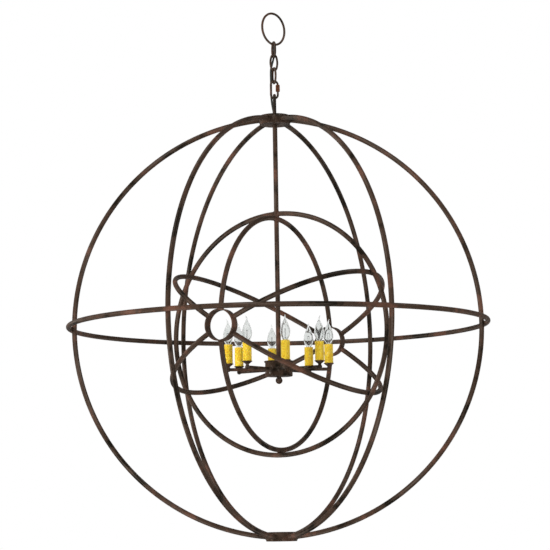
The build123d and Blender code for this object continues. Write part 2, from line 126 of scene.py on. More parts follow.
def mixed(tree, factor, first, second, blend="MIX"):
    """Two colours mixed by a value or a number."""
    made = add(tree, "ShaderNodeMix", data_type="RGBA", blend_type=blend)
    for socket, given in (("Factor", factor), (MIX_FIRST, first), (MIX_SECOND, second)):
        if isinstance(given, bpy.types.NodeSocket):
            tree.links.new(given, made.inputs[socket])
        else:
            made.inputs[socket].default_value = given
    return made.outputs[MIX_COLOUR]


def bumped(tree, height, strength, depth, under=None):
    """Bump from a height value, over an earlier bump if there is one."""
    made = add(tree, "ShaderNodeBump")
    made.inputs["Strength"].default_value = strength
    made.inputs["Distance"].default_value = depth
    tree.links.new(height, made.inputs["Height"])
    if under:
        tree.links.new(under, made.inputs["Normal"])
    return made.outputs["Normal"]


def finish(name):
    """New node material; gives it with its tree and its surface shader."""
    made = bpy.data.materials.new(name)
    made.use_nodes = True
    return made, made.node_tree, made.node_tree.nodes["Principled BSDF"]


def rusted(name, follows_bar, stretch):
    """Rust finish with worn streaks, which are stretched noise along the bar or in space."""
    made, tree, shader = finish(name)
    spot = add(tree, "ShaderNodeTexCoord").outputs["Object"]
    coords = spot
    if follows_bar:
        coords = add(tree, "ShaderNodeAttribute", attribute_name="grain").outputs["Vector"]
    patches = noise(tree, spot, RUST_PATCHES, 6.0, 0.66)
    stops = ((0.40, RUST_SHADE), (0.48, RUST_SKIN), (0.54, RUST_SKIN), (0.63, RUST_RED))
    skin = ramp(tree, patches, stops)
    mapping = add(tree, "ShaderNodeMapping")
    mapping.inputs["Scale"].default_value = stretch
    tree.links.new(coords, mapping.inputs["Vector"])
    streak = noise(tree, mapping.outputs["Vector"], 1.0, 4.0, 0.6)
    worn = mixed(tree, span(tree, streak, 0.5, 0.75, 0.0, 0.6), skin, RUST_WORN)
    grit = noise(tree, spot, RUST_GRIT, 3.0, 0.6)
    tone = ramp(tree, grit, ((0.3, GRIT_SHADE), (0.7, WHITE)))
    tree.links.new(mixed(tree, 1.0, worn, tone, "MULTIPLY"), shader.inputs["Base Color"])
    tree.links.new(span(tree, grit, 0.3, 0.7, 0.55, 0.8), shader.inputs["Roughness"])
    shader.inputs["Specular IOR Level"].default_value = RUST_SHEEN
    pitted = bumped(tree, grit, 0.35, 0.0006)
    dented = noise(tree, spot, RUST_DENTS, 2.0)
    tree.links.new(bumped(tree, dented, 0.25, 0.0012, pitted), shader.inputs["Normal"])
    return made


RUSTED_BAR = rusted("rusted_bar", True, BAR_STREAKS)
RUSTED_IRON = rusted("rusted_iron", False, IRON_STREAKS)


def uneven(tree, geometry, amount, lumps):
    """Surface pushed in and out along its normals by noise in space, so many lumps to a metre."""
    link = tree.links.new
    scaled = add(tree, "ShaderNodeVectorMath", operation="SCALE")
    link(add(tree, "GeometryNodeInputPosition").outputs["Position"], scaled.inputs[0])
    link(lumps, scaled.inputs["Scale"])
    centred = add(tree, "ShaderNodeMath", operation="SUBTRACT")
    link(noise(tree, scaled.outputs["Vector"], 1.0, 2.0), centred.inputs[0])
    centred.inputs[1].default_value = 0.5
    push = add(tree, "ShaderNodeMath", operation="MULTIPLY")
    link(centred.outputs[0], push.inputs[0])
    link(amount, push.inputs[1])
    offset = add(tree, "ShaderNodeVectorMath", operation="SCALE")
    link(add(tree, "GeometryNodeInputNormal").outputs["Normal"], offset.inputs[0])
    link(push.outputs[0], offset.inputs["Scale"])
    moved = add(tree, "GeometryNodeSetPosition")
    link(geometry, moved.inputs["Geometry"])
    link(offset.outputs["Vector"], moved.inputs["Offset"])
    return moved.outputs["Geometry"]


def open_tree(name, wants, gives):
    """New geometry tree with those named inputs and one output; gives it with its inputs."""
    tree = bpy.data.node_groups.new(name, "GeometryNodeTree")
    for want, kind in wants.items():
        tree.interface.new_socket(want, in_out="INPUT", socket_type=kind)
    tree.interface.new_socket(gives, in_out="OUTPUT", socket_type="NodeSocketGeometry")
    return tree, add(tree, "NodeGroupInput").outputs


def close_tree(tree, geometry, material):
    """Smooth shading, realized instances and the finish, out of the tree."""
    link = tree.links.new
    smooth = add(tree, "GeometryNodeSetShadeSmooth")
    link(geometry, smooth.inputs["Geometry"])
    real = add(tree, "GeometryNodeRealizeInstances")
    link(smooth.outputs["Geometry"], real.inputs["Geometry"])
    coated = add(tree, "GeometryNodeSetMaterial")
    link(real.outputs["Geometry"], coated.inputs["Geometry"])
    link(material, coated.inputs["Material"])
    link(coated.outputs["Geometry"], add(tree, "NodeGroupOutput").inputs[0])


def stored(tree, name, kind, geometry, value):
    """Geometry that keeps a value at each point under a name."""
    made = add(tree, "GeometryNodeStoreNamedAttribute", data_type=kind, domain="POINT")
    made.inputs["Name"].default_value = name
    tree.links.new(geometry, made.inputs["Geometry"])
    tree.links.new(value, made.inputs["Value"])
    return made.outputs["Geometry"]


def recalled(tree, name, kind):
    """Value that was kept under a name."""
    made = add(tree, "GeometryNodeInputNamedAttribute", data_type=kind)
    made.inputs["Name"].default_value = name
    return made.outputs["Attribute"]


def round_bar_tree():
    """Round bar along a path, slightly uneven, with its length and side kept as grain for the finish."""
    wants = {
        "Path": "NodeSocketGeometry",
        "Bar Radius": "NodeSocketFloat",
        "Unevenness": "NodeSocketFloat",
        "Lumps": "NodeSocketFloat",
        "Sides": "NodeSocketInt",
        "Finish": "NodeSocketMaterial",
    }
    tree, given = open_tree("round_bar", wants, "Bar")
    link = tree.links.new
    length = add(tree, "GeometryNodeSplineParameter").outputs["Length"]
    path = stored(tree, "along", "FLOAT", given["Path"], length)
    circle = add(tree, "GeometryNodeCurvePrimitiveCircle")
    link(given["Sides"], circle.inputs["Resolution"])
    link(given["Bar Radius"], circle.inputs["Radius"])
    position = add(tree, "GeometryNodeInputPosition").outputs["Position"]
    outline = stored(tree, "side", "FLOAT_VECTOR", circle.outputs["Curve"], position)
    tube = add(tree, "GeometryNodeCurveToMesh")
    tube.inputs["Fill Caps"].default_value = True
    link(path, tube.inputs["Curve"])
    link(outline, tube.inputs["Profile Curve"])
    parted = add(tree, "ShaderNodeSeparateXYZ")
    link(recalled(tree, "side", "FLOAT_VECTOR"), parted.inputs["Vector"])
    joined = add(tree, "ShaderNodeCombineXYZ")
    link(recalled(tree, "along", "FLOAT"), joined.inputs["X"])
    link(parted.outputs["X"], joined.inputs["Y"])
    link(parted.outputs["Y"], joined.inputs["Z"])
    grained = stored(tree, "grain", "FLOAT_VECTOR", tube.outputs["Mesh"], joined.outputs["Vector"])
    shaped = uneven(tree, grained, given["Unevenness"], given["Lumps"])
    for name in ("along", "side"):
        cleared = add(tree, "GeometryNodeRemoveAttribute")
        cleared.inputs["Name"].default_value = name
        link(shaped, cleared.inputs["Geometry"])
        shaped = cleared.outputs["Geometry"]
    close_tree(tree, shaped, given["Finish"])
    return tree


ROUND_BAR = round_bar_tree()


def grown(name, data, tree, sizes):
    """Plain mesh piece from a path or mesh that a node tree works on with those sizes."""
    seed = bpy.data.objects.new(name + "_seed", data)
    bpy.context.collection.objects.link(seed)
    modifier = seed.modifiers.new("grow", "NODES")
    modifier.node_group = tree
    for item in tree.interface.items_tree:
        if item.in_out == "INPUT" and item.name in sizes:
            modifier[item.identifier] = sizes[item.name]
    seen = seed.evaluated_get(bpy.context.evaluated_depsgraph_get())
    mesh = bpy.data.meshes.new_from_object(seen)
    mesh.name = name
    bpy.data.objects.remove(seed)
    piece = bpy.data.objects.new(name, mesh)
    bpy.context.collection.objects.link(piece)
    return piece


def place(piece, body, slot, *replaced):
    """Piece rides on a body and stands for solid nodes; its slot is not used."""
    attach(piece, body)
    if replaced:
        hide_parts(*replaced)


def swept(name, paths, radius, material, sides, unevenness=0.0, lumps=BAR_LUMPS):
    """Mesh piece of round bar or wire along open or closed paths."""
    curve = bpy.data.curves.new(name + "_path", "CURVE")
    curve.dimensions = "3D"
    for points, closed in paths:
        spline = curve.splines.new("POLY")
        spline.points.add(len(points) - 1)
        spline.points.foreach_set("co", [c for point in points for c in (*point, 1.0)])
        spline.use_cyclic_u = closed
    sizes = {
        "Bar Radius": radius,
        "Unevenness": unevenness,
        "Lumps": lumps,
        "Sides": sides,
        "Finish": material,
    }
    return grown(name, curve, ROUND_BAR, sizes)


def bar(name, paths, radius, body, replaced, sides=BAR_SIDES, unevenness=BAR_UNEVENNESS):
    """Iron bar or wire that rides on a body and stands for solid nodes."""
    piece = swept(name, paths, radius, RUSTED_BAR, sides, unevenness)
    place(piece, body, "rust_iron", *replaced)


def arc(centre, along, across, radius, start, sweep, steps):
    """Points on a circle in the plane of two unit vectors, through a sweep from a start, in degrees."""
    points = []
    for step in range(steps + 1):
        angle = math.radians(start + sweep * step / steps)
        points.append(centre + radius * (math.cos(angle) * along + math.sin(angle) * across))
    return points


def hoop(centre, along, across, radius, steps):
    """Points all round a circle in the plane of two unit vectors."""
    return arc(centre, along, across, radius, 0, 360, steps)[:-1]


def heading(yaw):
    """Level unit vector at that yaw from +X."""
    return Vector((math.cos(math.radians(yaw)), math.sin(math.radians(yaw)), 0.0))


low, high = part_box("hanging_ring")
ring_middle = (low + high) / 2
ring_turn = (high.z - low.z - RING_WIRE) / 2
ring_path = hoop(ring_middle, heading(RING_YAW), UP, ring_turn, RING_STEPS)
bar("hanging_ring_wire", [(ring_path, True)], RING_WIRE / 2, "hanging_ring", ["hanging_ring"], WIRE_SIDES)


# Chain links
# Three links of round iron wire, each bent to an oval with bowed legs and welded shut.
# Each hangs through the one above and is turned across it.
LINK_WIRE = 0.0062
LINK_WIDTH = 0.027
LINK_END = 0.008
LINK_YAWS = (115.0, 17.0, 115.0)
LEG_STEPS = 14
END_STEPS = 18


def bowed(middle, yaw, length):
    """Closed path of an upright link with round ends and bowed legs."""
    level = heading(yaw)
    rise = (length - LINK_WIRE) / 2 - LINK_END
    half = (LINK_WIDTH - LINK_WIRE) / 2
    leg = (rise**2 / (half - LINK_END) + half + LINK_END) / 2
    turn = math.degrees(math.atan2(rise, leg - half))
    path = []
    for side in (1, -1):
        out = side * level
        over = side * UP
        path += arc(middle - (leg - half) * out, out, over, leg, -turn, 2 * turn, LEG_STEPS)[:-1]
        path += arc(middle + rise * over, out, over, LINK_END, turn, 180 - 2 * turn, END_STEPS)[:-1]
    return path


for number, yaw in enumerate(LINK_YAWS, 1):
    node = f"chain_link_{number}"
    low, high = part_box(node)
    link_path = bowed((low + high) / 2, yaw, high.z - low.z)
    bar(f"link_{number}_wire", [(link_path, True)], LINK_WIRE / 2, f"link_{number}", [node], WIRE_SIDES)


# Connector
# A screw link of round iron wire, open in one leg, with a six-sided collar that screws over the
# opening. The collar has a more orange rust than the rest.
CONNECTOR_WIRE = 0.006
CONNECTOR_WIDTH = 0.027
CONNECTOR_YAW = 15.0
BEND_STEPS = 24
MOUTH_LOW = 0.005
MOUTH_HIGH = 0.012
THREAD_PITCH = 0.0011
THREAD_DEPTH = 0.0003
THREAD_RUN = 0.009
UPPER_THREAD_RUN = 0.002
THREAD_STEPS = 12
THREAD_SIDES = 6
COLLAR_RUST = (0.120, 0.040, 0.017, 1)
COLLAR_SHADE = (0.034, 0.014, 0.008, 1)
COLLAR_PATCHES = 160.0
COLLAR_GRIT = 1400.0
COLLAR_SHEEN = 0.15

low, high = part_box("connector_link")
middle = (low + high) / 2
bend = (CONNECTOR_WIDTH - CONNECTOR_WIRE) / 2
leg = heading(CONNECTOR_YAW) * bend
rise = UP * (high.z - low.z - CONNECTOR_WIDTH) / 2
mouth_low = middle + leg + UP * MOUTH_LOW
mouth_high = middle + leg + UP * MOUTH_HIGH
wire_path = [mouth_high]
wire_path += arc(middle + rise, heading(CONNECTOR_YAW), UP, bend, 0, 180, BEND_STEPS)
wire_path += arc(middle - rise, heading(CONNECTOR_YAW), UP, bend, 180, 180, BEND_STEPS)
wire_path.append(mouth_low)
bar("connector_wire", [(wire_path, False)], CONNECTOR_WIRE / 2, "connector", ["connector_link"], WIRE_SIDES)


def thread(foot, run):
    """Path of a screw thread that stands on the connector's leg, from its foot up."""
    steps = int(run / THREAD_PITCH * THREAD_STEPS)
    points = []
    for step in range(steps + 1):
        angle = math.tau * step / THREAD_STEPS
        turn = Vector((math.cos(angle), math.sin(angle), 0)) * CONNECTOR_WIRE / 2
        points.append(foot + turn + UP * run * step / steps)
    return points


thread_paths = [
    (thread(mouth_low - UP * THREAD_RUN, THREAD_RUN), False),
    (thread(mouth_high, UPPER_THREAD_RUN), False),
]
bar("connector_threads", thread_paths, THREAD_DEPTH, "connector", [], THREAD_SIDES, 0.0)


def collar_rust():
    """Orange rust with darker hollows."""
    made, tree, shader = finish("collar_rust")
    spot = add(tree, "ShaderNodeTexCoord").outputs["Object"]
    patches = noise(tree, spot, COLLAR_PATCHES, 4.0, 0.6)
    stops = ((0.34, COLLAR_SHADE), (0.56, COLLAR_RUST))
    tree.links.new(ramp(tree, patches, stops), shader.inputs["Base Color"])
    grit = noise(tree, spot, COLLAR_GRIT, 2.0)
    tree.links.new(span(tree, patches, 0.3, 0.7, 0.7, 0.45), shader.inputs["Roughness"])
    tree.links.new(bumped(tree, grit, 0.3, 0.0003), shader.inputs["Normal"])
    shader.inputs["Specular IOR Level"].default_value = COLLAR_SHEEN
    return made


def coat(material, *names):
    """Finish on CAD nodes that are shown as they are."""
    for name in names:
        data = frame["nodes"][name].data
        data.materials.clear()
        data.materials.append(material)


coat(collar_rust(), "connector_collar")


# Top loop
# An upright loop of heavier round bar, bent to a half circle on two straight legs.
# Its feet are welded to the top hub.
LOOP_WIRE = 0.0095
LOOP_WIDTH = 0.036
LOOP_YAW = 90.0
LOOP_STEPS = 28
LOOP_LEG_STEPS = 8
FOOT_SINK = 0.002

low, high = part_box("top_loop")
hub_top = low.z
loop_bend = (LOOP_WIDTH - LOOP_WIRE) / 2
loop_centre = Vector((0, 0, high.z - LOOP_WIDTH / 2))
foot_z = hub_top - FOOT_SINK
loop_legs = []
for side in (1, -1):
    foot = heading(LOOP_YAW) * loop_bend * side
    heights = [foot_z + (loop_centre.z - foot_z) * step / LOOP_LEG_STEPS for step in range(LOOP_LEG_STEPS)]
    loop_legs.append([foot + UP * height for height in heights])
loop_path = arc(loop_centre, heading(LOOP_YAW), UP, loop_bend, 0, 180, LOOP_STEPS)
loop_path = loop_legs[0] + loop_path + loop_legs[1][::-1]
bar("top_loop_bar", [(loop_path, False)], LOOP_WIRE / 2, "fixture", ["top_loop"])


# Hubs
# Two drums cut from pipe, each closed by a welded disc, with a plate let into the open end.
# A rubber bushing in the top disc leads the cord out.
RUBBER = (0.012, 0.012, 0.011, 1)
HOLLOW_TONE = 0.72


def plain(name, colour, rough, metal, scale):
    """Moulded, drawn or turned material: one colour, a little uneven in tone and gloss."""
    made, tree, shader = finish(name)
    coords = add(tree, "ShaderNodeTexCoord").outputs["Object"]
    cloud = noise(tree, coords, scale, 4.0, 0.6)
    darker = tuple(HOLLOW_TONE * c for c in colour[:3]) + (1,)
    tree.links.new(ramp(tree, cloud, ((0.35, darker), (0.6, colour))), shader.inputs["Base Color"])
    tree.links.new(span(tree, cloud, 0.3, 0.7, rough + 0.12, rough - 0.05), shader.inputs["Roughness"])
    shader.inputs["Metallic"].default_value = metal
    tree.links.new(bumped(tree, cloud, 0.15, 0.0002), shader.inputs["Normal"])
    return made


coat(RUSTED_IRON, "top_hub", "top_hub_plate", "bottom_hub", "bottom_hub_plate")
coat(plain("rubber", RUBBER, rough=0.6, metal=0.0, scale=400.0), "cord_bushing")


# Outer orb
# Six half hoops of round bar run from hub to hub, their ends cut to the drum and welded on.
# The equator is a full hoop that lies outside them and is tacked to each.
ROD = 0.0143
RIB_TURN = 0.6065
RIB_COUNT = 6
RIB_STEPS = 120
EQUATOR_STEPS = 240
WELD_GAP = 0.0002
END_SINK = 0.002
BEAD = 0.0019
BEAD_SIDES = 8
BEAD_UNEVENNESS = 0.0022
BEAD_LUMPS = 420.0
SEAM_STEPS = 28
FOOT_SEAM_STEPS = 24
TACK_POINTS = 5
TACK_ASIDE = 0.35 * ROD
TACK_STEP = 0.2 * ROD
AXIS_POINT = Vector((0, 0, 0))

low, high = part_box("equator_hoop")
orb_centre = (low + high) / 2
hoop_turn = (high.x - low.x - ROD) / 2
low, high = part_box("top_hub")
hub_radius = (high.x - low.x) / 2
rib_inset = RIB_TURN - (hoop_turn - ROD - WELD_GAP)
rib_yaws = [360 / RIB_COUNT * number for number in range(RIB_COUNT)]


def saddle(point, into, radius, drum_point, drum_axis, drum_radius):
    """Closed seam where a round bar runs into a drum: the bar's outline moved along it to the drum."""
    first = into.orthogonal().normalized()
    second = into.cross(first)
    slope = into - into.dot(drum_axis) * drum_axis
    seam = []
    for step in range(SEAM_STEPS):
        angle = math.tau * step / SEAM_STEPS
        edge = point + radius * (math.cos(angle) * first + math.sin(angle) * second)
        away = edge - drum_point
        away = away - away.dot(drum_axis) * drum_axis
        half = away.dot(slope) / slope.length_squared
        rest = (away.length_squared - drum_radius**2) / slope.length_squared
        seam.append(edge + into * (-half - math.sqrt(max(half * half - rest, 0.0))))
    return seam


def tack(point, across, along):
    """Two short beads in the corners where one bar lies over another."""
    beads = []
    for side in (-1, 1):
        corner = point + across * side * TACK_ASIDE
        beads.append([corner + along * (step - TACK_POINTS // 2) * TACK_STEP for step in range(TACK_POINTS)])
    return beads


def welds(name, seams, tacks):
    """Weld beads along closed seams and short open ones, lumpy as a hand leaves them."""
    paths = [(seam, True) for seam in seams] + [(run, False) for run in tacks]
    beads = swept(name, paths, BEAD, RUSTED_IRON, BEAD_SIDES, BEAD_UNEVENNESS, BEAD_LUMPS)
    place(beads, "fixture", "rust_iron")


hub_seams = []
rib_end = math.degrees(math.acos((hub_radius - END_SINK + rib_inset) / RIB_TURN))
meet = math.acos((hub_radius + rib_inset) / RIB_TURN)
for number, yaw in enumerate(rib_yaws, 1):
    out = heading(yaw)
    centre = orb_centre - out * rib_inset
    rib_path = arc(centre, out, UP, RIB_TURN, -rib_end, 2 * rib_end, RIB_STEPS)
    bar(f"rib_bar_{number}", [(rib_path, False)], ROD / 2, "fixture", [f"rib_{number}"])
    for side in (1, -1):
        point = centre + RIB_TURN * (math.cos(meet) * out + side * math.sin(meet) * UP)
        into = (side * math.cos(meet) * UP - math.sin(meet) * out).normalized()
        hub_seams.append(saddle(point, into, ROD / 2, AXIS_POINT, UP, hub_radius))
equator_path = hoop(orb_centre, heading(0), heading(90), hoop_turn, EQUATOR_STEPS)
bar("equator_bar", [(equator_path, True)], ROD / 2, "fixture", ["equator_hoop"])
rib_tacks = []
for yaw in rib_yaws:
    rib_tacks += tack(orb_centre + heading(yaw) * (hoop_turn - ROD / 2), heading(yaw + 90), UP)
for side in (1, -1):
    foot = heading(LOOP_YAW) * loop_bend * side + UP * hub_top
    hub_seams.append(hoop(foot, heading(0), heading(90), LOOP_WIRE / 2, FOOT_SEAM_STEPS))
welds("outer_welds", hub_seams, rib_tacks)


# Stem
# A straight tube that carries the inner orb and the lights, with the cord inside it.
# It is let into the top hub's plate, and its rust is streaked lengthwise.
STEM_STREAKS = (200.0, 200.0, 6.0)
coat(rusted("rusted_stem", False, STEM_STREAKS), "stem")


# Inner orb
# One large upright hoop, and inside it arcs of the same bar that start and end on two short pipe
# rings. Two upper arcs meet at the stem, one lower arc goes round below, four lean.
INNER_HOOP_YAW = -30.0
BAND_YAW = 61.3
SLANTS = (("rising", 33.0), ("falling", -28.0))
STEM_RADIUS = 0.00685
BAND_RADIUS = 0.04445
END_BITE = 0.0018
HOOP_STEPS = 160
ARC_STEPS = 80

low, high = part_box("inner_hoop")
inner_turn = (high.z - low.z - ROD) / 2
inner_centre = Vector((0, 0, low.z + ROD / 2 + inner_turn))
nested_turn = inner_turn - ROD - WELD_GAP
band_axis = heading(BAND_YAW)
across_axis = heading(BAND_YAW + 90)
hoop_axis = heading(INNER_HOOP_YAW)
stem_gap = math.degrees(math.asin((STEM_RADIUS - END_BITE) / inner_turn))
nested_gap = math.degrees(math.asin((STEM_RADIUS - END_BITE) / nested_turn))
band_gap = math.degrees(math.asin((BAND_RADIUS - END_BITE) / nested_turn))
half = 180 - 2 * band_gap
quarter = 90 - band_gap - nested_gap

hoop_path = arc(inner_centre, hoop_axis, UP, inner_turn, 90 + stem_gap, 360 - 2 * stem_gap, HOOP_STEPS)
bar("inner_hoop_bar", [(hoop_path, False)], ROD / 2, "fixture", ["inner_hoop"])
nested = {
    "upper_arc_back": (UP, band_gap, quarter),
    "upper_arc_front": (UP, 90 + nested_gap, quarter),
    "lower_arc": (UP, 180 + band_gap, half),
}
leans = []
for name, tilt in SLANTS:
    lean = math.cos(math.radians(tilt)) * across_axis + math.sin(math.radians(tilt)) * UP
    leans += [lean, -lean]
    nested[f"slant_arc_{name}_left"] = (lean, band_gap, half)
    nested[f"slant_arc_{name}_right"] = (lean, 180 + band_gap, half)
for name, (lean, start, sweep) in nested.items():
    arc_path = arc(inner_centre, band_axis, lean, nested_turn, start, sweep, ARC_STEPS)
    bar(f"{name}_bar", [(arc_path, False)], ROD / 2, "fixture", [name])

inner_seams = []
meet = math.asin(BAND_RADIUS / nested_turn)
for lean in [UP, -UP, *leans]:
    for end in (1, -1):
        point = inner_centre + nested_turn * (end * math.cos(meet) * band_axis + math.sin(meet) * lean)
        into = (end * math.sin(meet) * band_axis - math.cos(meet) * lean).normalized()
        inner_seams.append(saddle(point, into, ROD / 2, inner_centre, band_axis, BAND_RADIUS))
for turn, level in ((inner_turn, hoop_axis), (nested_turn, band_axis)):
    meet = math.asin(STEM_RADIUS / turn)
    for side in (1, -1):
        point = inner_centre + turn * (side * math.sin(meet) * level + math.cos(meet) * UP)
        into = (math.sin(meet) * UP - side * math.cos(meet) * level).normalized()
        inner_seams.append(saddle(point, into, ROD / 2 - WELD_GAP, AXIS_POINT, UP, STEM_RADIUS))
hoop_tacks = tack(inner_centre - UP * (inner_turn - ROD / 2), hoop_axis, band_axis)
for lean in leans:
    hoop_tacks += tack(inner_centre + lean * (inner_turn - ROD / 2), lean.cross(band_axis), band_axis)
welds("inner_welds", inner_seams, hoop_tacks)
coat(RUSTED_IRON, "node_band_front", "node_band_back")


# Light cluster
# A round pan with a lipped cover on the end of the stem, a turned ball screwed under it, and eight
# straight tubes through its wall. Each tube ends in a ball that carries a candle.
LIGHT_COUNT = 8
NIPPLE_STEEL = (0.42, 0.41, 0.38, 1)
LEAD_INSULATION = (0.62, 0.60, 0.55, 1)
WIRE_NUT_PLASTIC = (0.50, 0.12, 0.02, 1)
SCREW_STEEL = (0.36, 0.33, 0.30, 1)
SCREW_YAW = -131.0
SCREW_DROP = 0.0115
SCREW_SIDES = 20
SCREW_HEAD = (
    (0.0026, -0.0006),
    (0.0026, 0.0005),
    (0.0022, 0.0011),
    (0.0014, 0.0015),
    (0.0005, 0.0016),
)

arm_ids = [f"arm_{number}" for number in range(1, LIGHT_COUNT + 1)]
coat(RUSTED_IRON, "cluster_body", "cluster_cover", "finial", *arm_ids)
coat(plain("nipple_steel", NIPPLE_STEEL, rough=0.35, metal=1.0, scale=600.0), "threaded_nipples")
coat(plain("lead_insulation", LEAD_INSULATION, rough=0.5, metal=0.0, scale=300.0), "lamp_leads")
coat(plain("wire_nut_plastic", WIRE_NUT_PLASTIC, rough=0.45, metal=0.0, scale=300.0), "wire_nuts")


def spun(name, rings, sides, closed=False):
    """Mesh of rings (radius, height, lean to the side if any); ends are closed unless it is a loop."""
    made = bmesh.new()
    rows = []
    for radius, height, *lean in rings:
        row = []
        for step in range(sides):
            angle = math.tau * step / sides
            x = sum(lean) + radius * math.cos(angle)
            row.append(made.verts.new((x, radius * math.sin(angle), height)))
        rows.append(row)
    pairs = list(zip(rows, rows[1:]))
    if closed:
        pairs.append((rows[-1], rows[0]))
    for below, above in pairs:
        for k in range(sides):
            made.faces.new((below[k], below[k - 1], above[k - 1], above[k]))
    if not closed:
        made.faces.new(rows[0])
        made.faces.new(rows[-1][::-1])
    bmesh.ops.recalc_face_normals(made, faces=made.faces)
    mesh = bpy.data.meshes.new(name)
    made.to_mesh(mesh)
    made.free()
    return mesh


low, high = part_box("cluster_body")
screw_out = heading(SCREW_YAW)
screw_seat = screw_out * (high.x - low.x) / 2 + UP * ((low.z + high.z) / 2 - SCREW_DROP)
screw = spun("body_screw", SCREW_HEAD, SCREW_SIDES)
screw.transform(Matrix.Translation(screw_seat) @ screw_out.to_track_quat("Z", "Y").to_matrix().to_4x4())
screw.shade_smooth()
screw.materials.append(plain("screw_steel", SCREW_STEEL, rough=0.4, metal=1.0, scale=700.0))
screw_head = bpy.data.objects.new("body_screw", screw)
bpy.context.collection.objects.link(screw_head)
place(screw_head, "fixture", "nipple_steel")


# Cups
# Under each candle a thin spun cup on a spool neck: it stands on the arm's ball, flares up to a rim
# that holds the candle's foot, and is clamped by a threaded nipple.
LIGHT_CIRCLE = 0.146
FIRST_LIGHT = -83.0
LIGHT_LUMPS = 140.0
BALL_RADIUS = 0.0068
CUP_SIDES = 40
CUP_UNEVENNESS = 0.0003
CUP_OUTSIDE = (
    (0.0050, 0.0046),
    (0.0045, 0.0060),
    (0.0046, 0.0074),
    (0.0054, 0.0088),
    (0.0068, 0.0099),
    (0.0084, 0.0110),
    (0.0101, 0.0124),
    (0.0124, 0.0143),
    (0.0146, 0.0161),
    (0.0152, 0.0167),
    (0.0150, 0.0170),
)
CUP_INSIDE = (
    (0.0144, 0.0170),
    (0.0134, 0.0162),
    (0.0114, 0.0145),
    (0.0093, 0.0127),
    (0.0088, 0.0123),
    (0.00365, 0.0123),
    (0.00365, 0.0046),
)

low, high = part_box("arm_1")
arm_z = low.z + BALL_RADIUS


def ring_of_lights_tree():
    """One piece set up at each light, turned outwards, with a slight unevenness."""
    wants = {
        "Piece": "NodeSocketGeometry",
        "Count": "NodeSocketInt",
        "Circle Radius": "NodeSocketFloat",
        "First Angle": "NodeSocketFloat",
        "Height": "NodeSocketFloat",
        "Unevenness": "NodeSocketFloat",
        "Finish": "NodeSocketMaterial",
    }
    tree, given = open_tree("ring_of_lights", wants, "Lights")
    link = tree.links.new
    circle = add(tree, "GeometryNodeMeshCircle")
    link(given["Count"], circle.inputs["Vertices"])
    link(given["Circle Radius"], circle.inputs["Radius"])
    lift = add(tree, "ShaderNodeCombineXYZ")
    link(given["Height"], lift.inputs["Z"])
    turn = add(tree, "ShaderNodeCombineXYZ")
    link(given["First Angle"], turn.inputs["Z"])
    placed = add(tree, "GeometryNodeTransform")
    link(circle.outputs["Mesh"], placed.inputs["Geometry"])
    link(lift.outputs["Vector"], placed.inputs["Translation"])
    link(turn.outputs["Vector"], placed.inputs["Rotation"])
    share = add(tree, "ShaderNodeMath", operation="DIVIDE")
    share.inputs[0].default_value = math.tau
    link(given["Count"], share.inputs[1])
    angle = add(tree, "ShaderNodeMath", operation="MULTIPLY_ADD")
    link(add(tree, "GeometryNodeInputIndex").outputs["Index"], angle.inputs[0])
    link(share.outputs[0], angle.inputs[1])
    link(given["First Angle"], angle.inputs[2])
    facing = add(tree, "ShaderNodeCombineXYZ")
    link(angle.outputs[0], facing.inputs["Z"])
    spread = add(tree, "GeometryNodeInstanceOnPoints")
    link(placed.outputs["Geometry"], spread.inputs["Points"])
    link(given["Piece"], spread.inputs["Instance"])
    link(facing.outputs["Vector"], spread.inputs["Rotation"])
    real = add(tree, "GeometryNodeRealizeInstances")
    link(spread.outputs["Instances"], real.inputs["Geometry"])
    lumps = add(tree, "ShaderNodeValue")
    lumps.outputs[0].default_value = LIGHT_LUMPS
    shaped = uneven(tree, real.outputs["Geometry"], given["Unevenness"], lumps.outputs[0])
    close_tree(tree, shaped, given["Finish"])
    return tree


RING_OF_LIGHTS = ring_of_lights_tree()


def lights(name, mesh, unevenness, material, slot, replaced):
    """A piece at every light."""
    sizes = {
        "Count": LIGHT_COUNT,
        "Circle Radius": LIGHT_CIRCLE,
        "First Angle": math.radians(FIRST_LIGHT),
        "Height": arm_z,
        "Unevenness": unevenness,
        "Finish": material,
    }
    place(grown(name, mesh, RING_OF_LIGHTS, sizes), "fixture", slot, *replaced)


cup = spun("cup", CUP_OUTSIDE + CUP_INSIDE, CUP_SIDES, closed=True)
lights("cups", cup, CUP_UNEVENNESS, RUSTED_IRON, "rust_iron", ["candle_cups", "candle_necks"])


# Candle sleeves
# Cast resin tubes that stand in the cups and look like beeswax: yellow, mottled with amber, paler
# round the upper rim.
SLEEVE_FOOT = 0.0156
SLEEVE_RADIUS = 0.0127
SLEEVE_WALL = 0.002
SLEEVE_LIP = 0.0025
SLEEVE_SIDES = 40
SLEEVE_ROWS = 16
SLEEVE_UNEVENNESS = 0.0003
MOUTH_RADIUS = 0.00825
RIM_ROUND = 0.0009
RIM_PALE_DEPTH = 0.005
WAX = (0.85, 0.588, 0.047, 1)
WAX_DEEP = (0.80, 0.50, 0.032, 1)
WAX_SPECK = (0.52, 0.27, 0.014, 1)
WAX_PALE = (0.87, 0.66, 0.16, 1)
WAX_CLOUDS = 95.0
WAX_SPECKS = 310.0
WAX_SHEEN = 0.2
WAX_SCATTER = 0.5
WAX_SCATTER_DEPTH = (0.004, 0.003, 0.001)

low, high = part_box("candle_sleeve_1")
sleeve_top = high.z - arm_z


